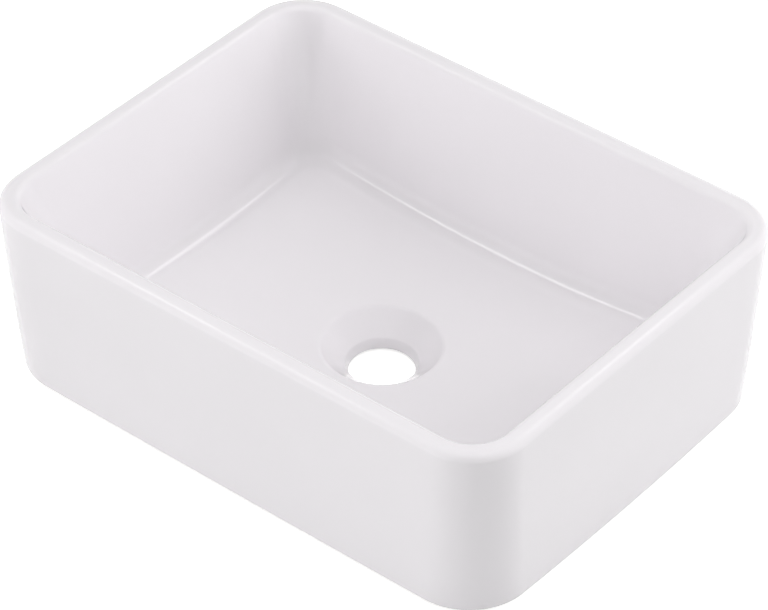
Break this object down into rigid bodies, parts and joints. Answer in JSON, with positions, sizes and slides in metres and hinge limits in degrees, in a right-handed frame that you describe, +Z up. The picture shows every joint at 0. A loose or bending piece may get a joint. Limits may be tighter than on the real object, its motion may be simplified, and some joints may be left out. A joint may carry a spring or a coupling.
{
  "type": "countertop basin",
  "caption": "Rectangular countertop wash basin in one piece of glossy white glazed ceramic, with a thin rounded rim, steep walls, a dished floor and an open waste hole in a sloped recess.",
  "frame": {"origin": "middle of the basin's plan, on the counter that its pads stand on", "axes": "+X along the length to the right, +Y to the back, +Z up out of the bowl, along the waste hole's axis"},
  "size_m": [0.4, 0.307, 0.131],
  "materials": {
    "white_glaze": "glossy white glaze, fired",
    "pad_rubber": "matt moulded rubber"
  },
  "bodies": {
    "root": {"basin_body": "white_glaze", "pad_front_left": "pad_rubber", "pad_front_right": "pad_rubber", "pad_back_left": "pad_rubber", "pad_back_right": "pad_rubber"}
  },
  "joints": []
}
